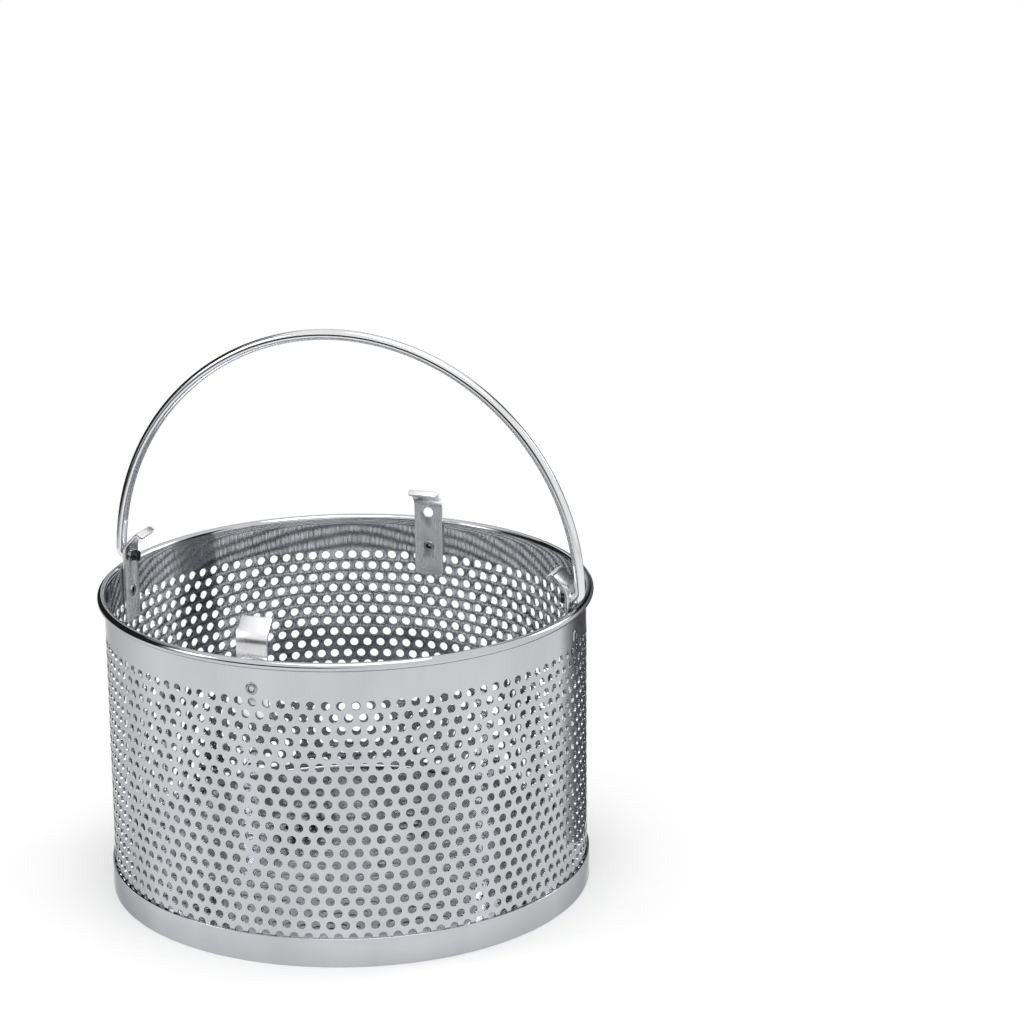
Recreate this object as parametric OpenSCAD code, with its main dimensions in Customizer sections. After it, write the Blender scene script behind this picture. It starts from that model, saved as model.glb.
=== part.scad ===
// Stackable perforated wire-handled basket for a steam steriliser chamber.
// Thin stainless sheet formed to a cylinder, rim rolled over a wire, plain base ring,
// recessed bottom, four riveted stacking brackets and a swinging bail handle.
// +Z is up, the bail hinge axis is X, the base stands on z = 0. All sizes in mm.

/* [Wall] */
// Outside diameter of the perforated sheet cylinder
wall_od = 270; // [200:1:340]
// Thickness of the perforated sheet
wall_t = 1; // [0.6:0.1:1.5]
// Height of the basket from the table to the top of the rolled rim
basket_h = 173; // [100:1:260]

/* [Rolled rim] */
// Diameter of the wire inside the rolled rim
rim_wire_d = 2.4; // [2:0.1:5]
// Play between the wire and the roll round it
wire_play = 0.3; // [0.2:0.05:0.5]
// Angle of the roll from the inside of the wall over the top and round underneath
rim_roll_a = 255; // [180:5:270]

/* [Openings in the sheet] */
// Diameter of one opening of the coarse pattern
gap_d = 21; // [6:1:22]
// Openings round the wall in one row
gap_count = 24; // [12:1:30]
// Rows of openings
gap_rows = 5; // [2:1:6]
// Plain height between the base ring and the first row
gap_low = 2; // [1:0.5:10]
// Plain height between the last row and the rim top
gap_high = 22; // [20:0.5:50]

/* [Base ring] */
// Height of the plain ring round the foot
ring_h = 16.3; // [8:0.1:30]
// Thickness of the ring
ring_t = 1; // [0.8:0.1:2]
// Play between the ring or the bottom and the wall that it is welded to
weld_play = 0.2; // [0.1:0.05:0.4]

/* [Bottom] */
// Height of the underside of the bottom above the table
bottom_z = 12; // [8:0.5:20]
// Thickness of the bottom sheet
bottom_t = 1; // [0.8:0.1:2]
// Height of the turned-down edge
bottom_edge_h = 7; // [4:0.5:11]
// Diameter of one opening of the coarse pattern
bottom_gap_d = 15; // [6:1:18]
// Circles of openings round the middle one
bottom_circles = 5; // [1:1:5]
// Distance between two circles of openings
bottom_pitch = 23; // [18:0.5:24]

/* [Stacking brackets] */
// Width of the bracket strip
strip_w = 17.5; // [12:0.5:25]
// Thickness of the bracket strip
strip_t = 1.5; // [1:0.1:2.5]
// Depth of the lower end of the strip below the rim top
strip_drop = 34.2; // [25:0.1:60]
// Play between the long edges of the strip and the wall
strip_play = 0.1; // [0.02:0.02:0.3]
// Height above the rim top where the strip starts to bend inward
bend_rise = 7; // [5:0.5:20]
// Outside radius of the first bend
bend_r = 9.6; // [4:0.1:14]
// Lean of the sloped leaf from the vertical
leaf_a = 43.5; // [30:0.5:60]
// Straight length of the sloped leaf
leaf_l = 7.2; // [3:0.1:12]
// Outside radius of the fold at the top
fold_r = 2.2; // [1.8:0.1:4]
// Slope of the turned-down lip below the horizontal
lip_a = 32; // [10:1:60]
// Straight length of the turned-down lip
lip_l = 2.8; // [1:0.1:10]
// Radius of the rounded corners of the strip
corner_r = 1.5; // [0.5:0.1:4]

/* [Rivets] */
// Depth of the rivets below the rim top
rivet_drop = 17; // [10:0.5:28]
// Outside diameter of the hollow shank
rivet_d = 4; // [3:0.1:6]
// Diameter of the hole through the rivet
rivet_bore_d = 2.8; // [1.5:0.1:5]
// Diameter of the rolled head outside the wall
rivet_head_d = 6.8; // [5:0.1:10]
// Height of one head
rivet_head_h = 0.7; // [0.4:0.1:1.5]
// Clearance of the shank in its hole, on the radius
rivet_clear = 0.05; // [0.02:0.01:0.1]

/* [Bail] */
// Diameter of the bail rod
bail_d = 6; // [4:0.1:8]
// Distance of the middle of the arched rod outside the face of the strips
arch_out = 4.5; // [4.5:0.1:9]
// Height of the middle of the arch above the pivot
arch_rise = 0.9; // [0:0.1:4]
// Clearance between the rod at its pivot and the rim below it
rim_clear = 1.1; // [0.5:0.1:1.4]
// Bend radius of the elbows to the middle of the rod
elbow_r = 4.4; // [3.6:0.1:8]
// Length of the rod that shows inside the strip
rod_in = 4.6; // [2:0.1:7]
// Bevel at the ends of the rod
end_bevel = 0.4; // [0.1:0.1:1]
// Running clearance of the rod in the bracket hole, on the radius
pivot_clear = 0.08; // [0.04:0.01:0.1]

/* [Hidden] */
$fn = 96;
// how far a cutter runs past the faces that it cuts
cut_past = 6;
steel_sheet = [0.74, 0.75, 0.77];
steel_plain = [0.78, 0.79, 0.81];
steel_satin = [0.63, 0.63, 0.65];
steel_bright = [0.85, 0.86, 0.88];

wall_ro = wall_od / 2;
wall_ri = wall_ro - wall_t;

// the roll: the sheet goes round the wire and stays flush with the inside of the wall
roll_ri = rim_wire_d / 2 + wire_play;
roll_ro = roll_ri + wall_t;
roll_c = wall_ri + roll_ro;
roll_z = basket_h - roll_ro;

ring_ri = wall_ro + weld_play;
ring_ro = ring_ri + ring_t;

gap_step = 360 / gap_count;
gap_z0 = ring_h + gap_low + gap_d / 2;
gap_z1 = basket_h - gap_high - gap_d / 2;
gap_dz = (gap_z1 - gap_z0) / (gap_rows - 1);

bottom_r = wall_ri - weld_play;
bottom_top = bottom_z + bottom_t;

// the flat strip rests with its two long edges on the inside of the round wall
strip_ro = sqrt(wall_ri * wall_ri - strip_w * strip_w / 4) - strip_play;
strip_ri = strip_ro - strip_t;
strip_low = basket_h - strip_drop;
bend_z = basket_h + bend_rise;
bend_ri = bend_r - strip_t;
fold_ri = fold_r - strip_t;
fold_turn = 90 - leaf_a + lip_a;
bend_c = [strip_ro - bend_r, bend_z];
fold_c = bend_c + (bend_r - fold_r) * across(leaf_a) + leaf_l * along(leaf_a);
lip_c = fold_c + lip_l * along(leaf_a + fold_turn);
strip_top = fold_c[1] + fold_r;
arc_steps = 10;

rivet_z = basket_h - rivet_drop;
rivet_hole_d = rivet_d + 2 * rivet_clear;

bail_r = bail_d / 2;
pivot_z = basket_h + rim_clear + bail_r;
pivot_hole_d = bail_d + 2 * pivot_clear;
arch_r = strip_ro + arch_out;
bail_end = strip_ri - rod_in;
elbow_x = sqrt(pow(arch_r - elbow_r, 2) - pow(elbow_r - arch_rise, 2));
elbow_a = atan2(elbow_r - arch_rise, elbow_x);

// the elbows run a little way inside the arch and the straight ends, and are a hair thinner
elbow_lap = 2.4;
elbow_rod_r = bail_r - 0.02;

// ---------- shared shapes ----------

// unit vector at an angle, and the one a quarter turn further on
function across(a) = [cos(a), sin(a)];
function along(a) = [-sin(a), cos(a)];

// points of an arc about a centre from one angle to another
function arc_points(centre, r, from, to) =
    [for (i = [0 : arc_steps]) centre + r * across(from + (to - from) * i / arc_steps)];

// tube standing on z = 0
module tube(ro, ri, h) {
    difference() {
        cylinder(r = ro, h = h);
        translate([0, 0, -cut_past])
            cylinder(r = ri, h = h + 2 * cut_past);
    }
}

// round bar pointing outward along +X between two distances from the middle
module radial_bar(d, x0, x1, z) {
    translate([x0, 0, z])
        rotate([0, 90, 0])
            cylinder(d = d, h = x1 - x0);
}

// ---------- perforated wall ----------

module roll_profile() {
    far = roll_ro + cut_past;
    translate([roll_c, roll_z])
        difference() {
            circle(r = roll_ro);
            circle(r = roll_ri);
            polygon([[0, 0], [-far, 0], [-far, -far], far * across(180 - rim_roll_a)]);
        }
}

module gap_row(row) {
    for (i = [0 : gap_count - 1])
        rotate([0, 0, (i + 0.5 + (row % 2) / 2) * gap_step])
            radial_bar(gap_d, wall_ri - cut_past, wall_ro + cut_past, gap_z0 + row * gap_dz);
}

module wall() {
    color(steel_sheet)
        difference() {
            union() {
                tube(wall_ro, wall_ri, roll_z);
                rotate_extrude()
                    roll_profile();
            }
            for (row = [0 : gap_rows - 1])
                gap_row(row);
            for (a = [0 : 90 : 270])
                rotate([0, 0, a])
                    radial_bar(rivet_hole_d, wall_ri - cut_past, wall_ro + cut_past, rivet_z);
        }
}

module rim_wire() {
    color(steel_bright)
        translate([0, 0, roll_z])
            rotate_extrude()
                translate([roll_c, 0])
                    circle(d = rim_wire_d);
}

// ---------- base ring and bottom ----------

module base_ring() {
    color(steel_plain)
        tube(ring_ro, ring_ri, ring_h);
}

module bottom_gaps() {
    cylinder(d = bottom_gap_d, h = bottom_top + cut_past);
    for (k = [1 : bottom_circles])
        for (i = [0 : 6 * k - 1])
            rotate([0, 0, (i + (k % 2) / 2) * 60 / k])
                translate([k * bottom_pitch, 0, 0])
                    cylinder(d = bottom_gap_d, h = bottom_top + cut_past);
}

module bottom() {
    color(steel_sheet)
        difference() {
            translate([0, 0, bottom_z - bottom_edge_h])
                cylinder(r = bottom_r, h = bottom_edge_h + bottom_t);
            cylinder(r = bottom_r - bottom_t, h = bottom_z);
            bottom_gaps();
        }
}

// ---------- stacking brackets ----------

// section of the bent strip, x outward and y up: up the outer face, back down the inner one
module bracket_section() {
    polygon([
        [strip_ro, strip_low],
        each arc_points(bend_c, bend_r, 0, leaf_a),
        each arc_points(fold_c, fold_r, leaf_a, leaf_a + fold_turn),
        lip_c + fold_r * across(leaf_a + fold_turn),
        lip_c + fold_ri * across(leaf_a + fold_turn),
        each arc_points(fold_c, fold_ri, leaf_a + fold_turn, leaf_a),
        each arc_points(bend_c, bend_ri, leaf_a, 0),
        [strip_ri, strip_low]
    ]);
}

// outline of the flat strip seen from the middle, with rounded corners
module strip_outline(top_z) {
    half = strip_w / 2 - corner_r;
    translate([-strip_w / 2, strip_low + corner_r])
        square([strip_w, top_z - strip_low - corner_r]);
    translate([-half, strip_low])
        square([2 * half, 2 * corner_r]);
    for (s = [-1, 1])
        translate([s * half, strip_low + corner_r])
            circle(r = corner_r);
}

// block that keeps the rounded outline of the lower end of the strip
module strip_keeper() {
    translate([wall_ri / 2, 0, 0])
        rotate([90, 0, 90])
            linear_extrude(wall_ri)
                strip_outline(strip_top + cut_past);
}

module bracket(with_pivot_hole) {
    color(steel_satin)
        difference() {
            intersection() {
                translate([0, strip_w / 2, 0])
                    rotate([90, 0, 0])
                        linear_extrude(strip_w)
                            bracket_section();
                strip_keeper();
            }
            radial_bar(rivet_hole_d, strip_ri - cut_past, strip_ro + cut_past, rivet_z);
            if (with_pivot_hole)
                radial_bar(pivot_hole_d, strip_ri - cut_past, strip_ro + cut_past, pivot_z);
        }
}

module bracket_right() {
    bracket(true);
}

module bracket_left() {
    rotate([0, 0, 180])
        bracket(true);
}

module bracket_rear() {
    rotate([0, 0, 90])
        bracket(true);
}

module bracket_front() {
    rotate([0, 0, 270])
        bracket(false);
}

// ---------- rivets ----------

module rivet() {
    color(steel_bright)
        difference() {
            union() {
                radial_bar(rivet_d, strip_ri - rivet_head_h, wall_ro + rivet_head_h, rivet_z);
                radial_bar(rivet_head_d, strip_ri - rivet_head_h, strip_ri, rivet_z);
                radial_bar(rivet_head_d, wall_ro, wall_ro + rivet_head_h, rivet_z);
            }
            radial_bar(rivet_bore_d, strip_ri - cut_past, wall_ro + cut_past, rivet_z);
        }
}

module rivet_right() {
    rivet();
}

module rivet_left() {
    rotate([0, 0, 180])
        rivet();
}

module rivet_rear() {
    rotate([0, 0, 90])
        rivet();
}

module rivet_front() {
    rotate([0, 0, 270])
        rivet();
}

// ---------- bail ----------

// quarter-round elbow and straight end on the +X side, pivot axis on z = 0
module bail_end_right() {
    translate([elbow_x, 0, elbow_r])
        rotate([90, 0, 0])
            rotate([0, 0, -90 - elbow_lap])
                rotate_extrude(angle = 90 + elbow_a + 2 * elbow_lap)
                    translate([elbow_r, 0])
                        circle(r = elbow_rod_r);
    translate([bail_end, 0, 0])
        rotate([0, 90, 0]) {
            cylinder(r1 = bail_r - end_bevel, r2 = bail_r, h = end_bevel);
            translate([0, 0, end_bevel])
                cylinder(r = bail_r, h = elbow_x - bail_end - end_bevel);
        }
}

module bail() {
    color(steel_bright)
        translate([0, 0, pivot_z]) {
            translate([0, 0, arch_rise])
                rotate([90, 0, 0])
                    rotate([0, 0, elbow_a])
                        rotate_extrude(angle = 180 - 2 * elbow_a)
                            translate([arch_r, 0])
                                circle(r = bail_r);
            bail_end_right();
            mirror([1, 0, 0])
                bail_end_right();
        }
}

wall();
rim_wire();
base_ring();
bottom();
bracket_right();
bracket_left();
bracket_rear();
bracket_front();
rivet_right();
rivet_left();
rivet_rear();
rivet_front();
bail();
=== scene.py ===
"""Finished sheet, wire and rivet surfaces for a perforated stainless basket with a swinging bail.

Every piece is built in metres in the row frame: +Z up, the bail hinge along X, the base on z = 0.
"""

import logging
import math
from dataclasses import dataclass, field
from enum import Enum

import bmesh
import bpy
from mathutils import Matrix, Vector
from mathutils.geometry import delaunay_2d_cdt


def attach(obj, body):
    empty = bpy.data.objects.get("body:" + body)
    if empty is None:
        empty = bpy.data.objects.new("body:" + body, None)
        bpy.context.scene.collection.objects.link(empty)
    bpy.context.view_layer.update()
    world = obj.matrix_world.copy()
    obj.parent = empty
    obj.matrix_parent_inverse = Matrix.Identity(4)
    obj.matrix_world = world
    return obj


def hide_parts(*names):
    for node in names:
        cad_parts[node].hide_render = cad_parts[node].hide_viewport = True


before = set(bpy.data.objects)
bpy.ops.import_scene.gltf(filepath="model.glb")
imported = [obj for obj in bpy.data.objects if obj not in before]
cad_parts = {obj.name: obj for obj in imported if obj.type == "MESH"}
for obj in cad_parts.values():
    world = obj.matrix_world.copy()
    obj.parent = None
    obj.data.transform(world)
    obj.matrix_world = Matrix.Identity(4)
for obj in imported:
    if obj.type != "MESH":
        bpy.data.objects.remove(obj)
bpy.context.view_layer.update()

LOG = logging.getLogger("basket")
MM = 0.001
BASKET = "basket"
HANDLE = "handle"
PIVOT_Z = 177.1 * MM
RIVET_Z = 156.0 * MM
WALL_R = 135.0 * MM
SHEET_T = 1.0 * MM
WELD = 0.02 * MM
TOUCH = 1e-7
EPSILON = 1e-9
WHITE = (1.0, 1.0, 1.0, 1.0)
Point = tuple[float, float]
Point3 = tuple[float, float, float]
OBJECT, GEOMETRY, MATERIAL = ("Object", None), ("Geometry", None), ("Material", None)
Socket = bpy.types.NodeSocket
Sockets = bpy.types.bpy_prop_collection


class Side(Enum):
    """Where a bracket or rivet stands, as its turn about +Z in degrees."""

    RIGHT = 0
    REAR = 90
    LEFT = 180
    FRONT = 270

    def named(self, kind: str) -> str:
        """Name of the piece of a kind that stands here."""
        return f"{kind}_{self.name.lower()}"


# ---------------------------------------------------------------- node helpers


class NodeGraph:
    """A thin wrapper that adds and links nodes in one tree."""

    def __init__(self, tree: bpy.types.NodeTree) -> None:
        """Keep the tree, shader or geometry, and start from no nodes."""
        self.tree = tree
        tree.nodes.clear()

    def add(self, kind: str, inputs: dict | None = None, **settings: object) -> bpy.types.Node:
        """Add one node.

        Args:
            kind: The node's bl_idname.
            inputs: Socket index or name to a value or to another node's output.
            settings: Properties of the node itself.

        Returns:
            The new node.
        """
        node = self.tree.nodes.new(kind)
        for name, value in settings.items():
            setattr(node, name, value)
        for key, value in (inputs or {}).items():
            if isinstance(value, Socket):
                self.tree.links.new(value, node.inputs[key])
            else:
                node.inputs[key].default_value = value
        return node

    def math(self, operation: str, a: object, b: object = 0.0, c: object = 0.0) -> Socket:
        """Output of a Math node, each operand a number or a socket."""
        return self.add("ShaderNodeMath", {0: a, 1: b, 2: c}, operation=operation).outputs[0]

    def length(self, vector: Socket) -> Socket:
        """Length of a vector."""
        return self.add("ShaderNodeVectorMath", {0: vector}, operation="LENGTH").outputs["Value"]

    def place(self) -> Socket:
        """Object coordinates."""
        return self.add("ShaderNodeTexCoord").outputs["Object"]

    def noise(self, place: Socket, scale: object, detail: float, roughness: float = 0.5) -> Socket:
        """Noise of about 0 to 1 over some coordinates, its scale a number or a socket."""
        return self.add("ShaderNodeTexNoise", {"Vector": place, "Scale": scale, "Detail": detail,
                                               "Roughness": roughness}).outputs["Fac"]

    def blend(self, mask: Socket, clean: object, dull: object) -> Socket:
        """Mix two colours.

        Args:
            mask: Share of the second colour.
            clean: First colour, a socket or RGB values.
            dull: Second colour.

        Returns:
            The mixed colour.
        """
        given = {0: mask}
        for slot, colour in ((6, clean), (7, dull)):
            given[slot] = (*colour, 1.0) if isinstance(colour, tuple) else colour
        return self.add("ShaderNodeMix", given, data_type="RGBA").outputs[2]

    def mix(self, share: Socket, first: bpy.types.Node, second: bpy.types.Node) -> bpy.types.Node:
        """Mix two shaders by the share of the second."""
        return self.add("ShaderNodeMixShader", {0: share, 1: first.outputs[0], 2: second.outputs[0]})

    def show(self, shader: bpy.types.Node, kind: str = "Material") -> None:
        """End the tree of a material or of the world with a shader."""
        self.add(f"ShaderNodeOutput{kind}", {"Surface": shader.outputs[0]})

    def seen(self, kept: object = 1.0) -> Socket:
        """Mask of the rays that see the white surroundings: camera rays and mirrored ones.

        Args:
            kept: Share of it that mirrored rays keep.

        Returns:
            The mask.
        """
        path = self.add("ShaderNodeLightPath").outputs
        mirrored = self.math("MAXIMUM", path["Is Glossy Ray"], path["Is Transmission Ray"])
        return self.math("MAXIMUM", path["Is Camera Ray"], self.math("MULTIPLY", mirrored, kept))

    def join(self, geometry: Socket, other: Socket) -> Socket:
        """Join the mesh of an object to a geometry.

        Args:
            geometry: The geometry.
            other: The object.

        Returns:
            Both together.
        """
        both = self.add("GeometryNodeJoinGeometry", {0: geometry})
        info = self.add("GeometryNodeObjectInfo", {"Object": other})
        self.tree.links.new(info.outputs["Geometry"], both.inputs[0])
        return both.outputs[0]

    def weld(self, geometry: Socket) -> Socket:
        """Merge the points that meet."""
        return self.add("GeometryNodeMergeByDistance", {"Geometry": geometry,
                                                        "Distance": WELD}).outputs[0]

    def dress(self, geometry: Socket, steel: Socket) -> bpy.types.NodeTree:
        """End a geometry tree: realize its instances and set its material.

        Args:
            geometry: The finished geometry.
            steel: The material.

        Returns:
            The finished tree.
        """
        real = self.add("GeometryNodeRealizeInstances", {"Geometry": geometry}).outputs[0]
        dressed = self.add("GeometryNodeSetMaterial", {"Geometry": real, "Material": steel})
        self.add("NodeGroupOutput", {0: dressed.outputs[0]})
        return self.tree


@dataclass(frozen=True)
class Fade:
    """A value that runs from low to high while another runs from start to end."""

    start: float
    end: float
    low: float = 0.0
    high: float = 1.0

    def of(self, g: NodeGraph, value: Socket, **settings: object) -> Socket:
        """The faded value; further settings go to the Map Range node."""
        limits = {"From Min": self.start, "From Max": self.end, "To Min": self.low, "To Max": self.high}
        return g.add("ShaderNodeMapRange", {"Value": value, **limits}, **settings).outputs[0]


def new_tree(name: str, kind: str, inputs: dict, outputs: dict) -> tuple[NodeGraph, Sockets]:
    """Start a tree with named sockets.

    Args:
        name: The tree's name.
        kind: Shader or Geometry.
        inputs: Input name to its socket type and the value it starts with, if any.
        outputs: Output name to its socket type.

    Returns:
        The graph and the sockets of its inputs.
    """
    tree = bpy.data.node_groups.new(name, f"{kind}NodeTree")
    for label, (form, value) in inputs.items():
        item = tree.interface.new_socket(name=label, in_out="INPUT", socket_type=f"NodeSocket{form}")
        if value is not None:
            item.default_value = value
    for label, form in outputs.items():
        tree.interface.new_socket(name=label, in_out="OUTPUT", socket_type=f"NodeSocket{form}")
    g = NodeGraph(tree)
    return g, g.add("NodeGroupInput").outputs


def new_material(name: str) -> tuple[bpy.types.Material, NodeGraph]:
    """Start a material.

    Args:
        name: Its name.

    Returns:
        The material and its empty graph.
    """
    made = bpy.data.materials.new(name)
    made.use_nodes = True
    return made, NodeGraph(made.node_tree)


# ---------------------------------------------------------------- finishes


class SurfaceGroups:
    """The shader node groups that several finishes share."""

    grain_scale: float = 900.0
    grain_detail: float = 3.0
    grain_roughness: float = 0.6
    cloud_scale: float = 30.0
    cloud_detail: float = 4.0
    cloud_height: float = 0.3
    cloud_edge: Fade = Fade(0.35, 0.7)
    wave_detail: float = 1.0

    def __init__(self) -> None:
        """Build each group once."""
        self.grain = self._grain()
        self.marks = self._marks()

    def _grain(self) -> bpy.types.NodeTree:
        """Fine polishing grain drawn out along one axis.

        Returns:
            A group with Stretch and Amount inputs and Height and Shade outputs.
        """
        g, given = new_tree("polish_grain", "Shader",
                            {"Stretch": ("Vector", (1.0, 1.0, 1.0)), "Amount": ("Float", 1.0)},
                            {"Height": "Float", "Shade": "Float"})
        drawn = g.add("ShaderNodeVectorMath", {0: g.place(), 1: given["Stretch"]},
                      operation="MULTIPLY").outputs[0]
        noise = g.noise(drawn, self.grain_scale, self.grain_detail, self.grain_roughness)
        scaled = g.math("MULTIPLY", g.math("SUBTRACT", noise, 0.5), given["Amount"])
        g.add("NodeGroupOutput", {"Height": scaled, "Shade": g.math("ADD", scaled, 0.5)})
        return g.tree

    def _marks(self) -> bpy.types.NodeTree:
        """Soft cloudy handling marks and the slow unevenness of thin sheet.

        Returns:
            A group with a Wave Scale input, a Cloud mask output and a Wave height output.
        """
        g, given = new_tree("handling_marks", "Shader", {"Wave Scale": ("Float", 12.0)},
                            {"Cloud": "Float", "Wave": "Float"})
        place = g.place()
        tall = g.add("ShaderNodeVectorMath", {0: place, 1: (1.0, 1.0, self.cloud_height)},
                     operation="MULTIPLY").outputs[0]
        cloud = self.cloud_edge.of(g, g.noise(tall, self.cloud_scale, self.cloud_detail))
        wave = g.noise(place, given["Wave Scale"], self.wave_detail)
        g.add("NodeGroupOutput", {"Cloud": cloud, "Wave": wave})
        return g.tree


@dataclass(frozen=True)
class SteelFinish:
    """One stainless finish: its colour, gloss, grain and unevenness."""

    name: str
    slot: str
    colour: Point3
    roughness: float
    stretch: Point3 = (1.0, 1.0, 0.04)
    grain: float = 1.0
    grain_depth: float = 0.01 * MM
    wave_depth: float = 0.6 * MM
    wave_scale: float = 14.0
    cloud: float = 0.06
    edge: float = 1.0
    gloss_spread: float = 0.2

    def tone(self, g: NodeGraph, cloud: Socket) -> Socket:
        """Colour of the steel, dulled where the mask of its faint smudges is full."""
        return g.blend(cloud, self.colour, tuple(c * (1.0 - self.cloud) for c in self.colour))

    def material(self, groups: SurfaceGroups) -> bpy.types.Material:
        """Build the material.

        Args:
            groups: The shared shader groups.

        Returns:
            The finished material.
        """
        made, g = new_material(self.name)
        grain = g.add("ShaderNodeGroup", node_tree=groups.grain)
        grain.inputs["Stretch"].default_value = self.stretch
        grain.inputs["Amount"].default_value = self.grain
        marks = g.add("ShaderNodeGroup", node_tree=groups.marks)
        marks.inputs["Wave Scale"].default_value = self.wave_scale
        gloss = Fade(0.0, 1.0, self.roughness * (1.0 - self.gloss_spread),
                     self.roughness * (1.0 + self.gloss_spread))
        wave = g.add("ShaderNodeBump", {"Height": marks.outputs["Wave"],
                                        "Distance": self.wave_depth}).outputs[0]
        fine = g.add("ShaderNodeBump", {"Height": grain.outputs["Height"], "Normal": wave,
                                        "Distance": self.grain_depth}).outputs[0]
        shader = g.add("ShaderNodeBsdfPrincipled", {
            "Base Color": self.tone(g, marks.outputs["Cloud"]), "Metallic": 1.0, "Normal": fine,
            "Roughness": gloss.of(g, grain.outputs["Shade"]),
            "Specular Tint": (*[self.edge] * 3, 1.0)})
        g.show(shader)
        return made


@dataclass(frozen=True)
class EyeletFinish(SteelFinish):
    """Bright steel with painted shade in the bores of the four hollow rivets."""

    bore: Fade = Fade(1.3 * MM, 2.3 * MM)
    bore_shade: Point3 = (0.05, 0.048, 0.045)

    def tone(self, g: NodeGraph, cloud: Socket) -> Socket:
        """Paint shade on the steel towards each rivet's own axis, into the bores.

        Args:
            g: The material's graph.
            cloud: Mask of the smudges.

        Returns:
            The base colour.
        """
        split = g.add("ShaderNodeSeparateXYZ", {0: g.place()}).outputs
        aside = g.math("MINIMUM", g.math("ABSOLUTE", split[0]), g.math("ABSOLUTE", split[1]))
        above = g.math("SUBTRACT", split[2], RIVET_Z)
        spot = g.add("ShaderNodeCombineXYZ", {0: aside, 1: above}).outputs[0]
        # painted shade: the steel turns near black towards the middle of each rivet's bore
        return g.blend(self.bore.of(g, g.length(spot)), self.bore_shade, super().tone(g, cloud))


@dataclass(frozen=True)
class RodFinish(SteelFinish):
    """Polished rod whose two straight ends inside the brackets are painted near black, a painted shade.
    """

    stub: Fade = Fade(131.0 * MM, 132.5 * MM)
    stub_top: float = 182.0 * MM
    stub_shade: Point3 = (0.06, 0.06, 0.062)

    def tone(self, g: NodeGraph, cloud: Socket) -> Socket:
        """Paint shade on the rod inside the brackets, at the height of the pivot.

        Args:
            g: The material's graph.
            cloud: Mask of the smudges.

        Returns:
            The base colour.
        """
        split = g.add("ShaderNodeSeparateXYZ", {0: g.place()}).outputs
        beyond = self.stub.of(g, g.math("ABSOLUTE", split[0]))
        high = g.math("GREATER_THAN", split[2], self.stub_top)
        # painted shade: the stubs that poke in through the brackets are near black
        return g.blend(g.math("MAXIMUM", beyond, high), self.stub_shade, super().tone(g, cloud))


SHEET = SteelFinish("polished_sheet", "perforated_sheet", (0.57, 0.58, 0.605), 0.045, cloud=0.12,
                    edge=0.6)
PLAIN = SteelFinish("polished_ring", "plain_sheet", (0.55, 0.56, 0.585), 0.09, cloud=0.12, edge=0.6)
STRIP = SteelFinish("satin_strip", "bracket", (0.85, 0.85, 0.87), 0.26, cloud=0.1,
                    grain_depth=0.003 * MM, wave_depth=0.1 * MM)
# the rivet steel is set darker than the other steels, a painted shade on the rivet heads
BRIGHT = EyeletFinish("bright_eyelet", "rivet", (0.4, 0.4, 0.41), 0.12, wave_depth=0.1 * MM, edge=0.3)
WIRE = SteelFinish("drawn_wire", "rod", (0.66, 0.67, 0.68), 0.2, cloud=0.1, wave_depth=0.1 * MM)
ROD = RodFinish("polished_rod", "rod", (0.78, 0.79, 0.80), 0.1, grain=0.0, wave_depth=0.0, edge=0.5)


@dataclass
class Workshop:
    """What every builder needs: the shared groups and the finished materials."""

    groups: SurfaceGroups = field(default_factory=SurfaceGroups)
    made: dict[str, bpy.types.Material] = field(default_factory=dict)

    def finish(self, wanted: SteelFinish) -> bpy.types.Material:
        """Find the material of a finish, built on first use.

        Args:
            wanted: The finish.

        Returns:
            Its material.
        """
        if wanted.name not in self.made:
            self.made[wanted.name] = wanted.material(self.groups)
        return self.made[wanted.name]

    def deliver(self, piece: bpy.types.Object, body: str, finish: SteelFinish,
                *nodes: str) -> bpy.types.Object:
        """Dress a piece and hand it to the frame.

        Args:
            piece: The finished mesh object.
            body: The CAD body that it rides on.
            finish: Its finish.
            nodes: The CAD nodes that it stands for.

        Returns:
            The same object.
        """
        piece.data.materials.clear()
        piece.data.materials.append(self.finish(finish))
        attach(piece, body)
        if nodes:
            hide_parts(*nodes)
        LOG.info("%s: %d faces on %s", piece.name, len(piece.data.polygons), body)
        return piece


# ---------------------------------------------------------------- mesh helpers


def add_object(name: str, data: bpy.types.ID) -> bpy.types.Object:
    """Link a new object with some data to the scene.

    Args:
        name: Object name.
        data: Its mesh, lamp or camera.

    Returns:
        The linked object.
    """
    made = bpy.data.objects.new(name, data)
    bpy.context.scene.collection.objects.link(made)
    return made


def mesh_object(name: str, verts: list, faces: list, edges: list | None = None) -> bpy.types.Object:
    """Make an object from lists of points and faces.

    Args:
        name: Object name.
        verts: Points in metres.
        faces: Vertex indices of each face.
        edges: Loose edges, if any.

    Returns:
        The linked object.
    """
    mesh = bpy.data.meshes.new(name)
    mesh.from_pydata([tuple(v) for v in verts], edges or [], faces)
    mesh.update()
    return add_object(name, mesh)


def apply_modifiers(made: bpy.types.Object) -> bpy.types.Object:
    """Turn the evaluated object into a plain mesh on the same object.

    Args:
        made: Object with live modifiers.

    Returns:
        The object, now without modifiers.
    """
    graph = bpy.context.evaluated_depsgraph_get()
    plain = bpy.data.meshes.new_from_object(made.evaluated_get(graph))
    made.modifiers.clear()
    made.data = plain
    return made


def run_tree(made: bpy.types.Object, tree: bpy.types.NodeTree, values: dict) -> bpy.types.Object:
    """Run a geometry tree on an object and keep the plain result.

    Args:
        made: The object whose mesh is the tree's input.
        tree: The geometry tree.
        values: Input name to value.

    Returns:
        The object with the resulting mesh.
    """
    modifier = made.modifiers.new(tree.name, "NODES")
    modifier.node_group = tree
    for item in tree.interface.items_tree:
        if item.item_type == "SOCKET" and item.in_out == "INPUT" and item.name in values:
            modifier[item.identifier] = values[item.name]
    return apply_modifiers(made)


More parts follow.
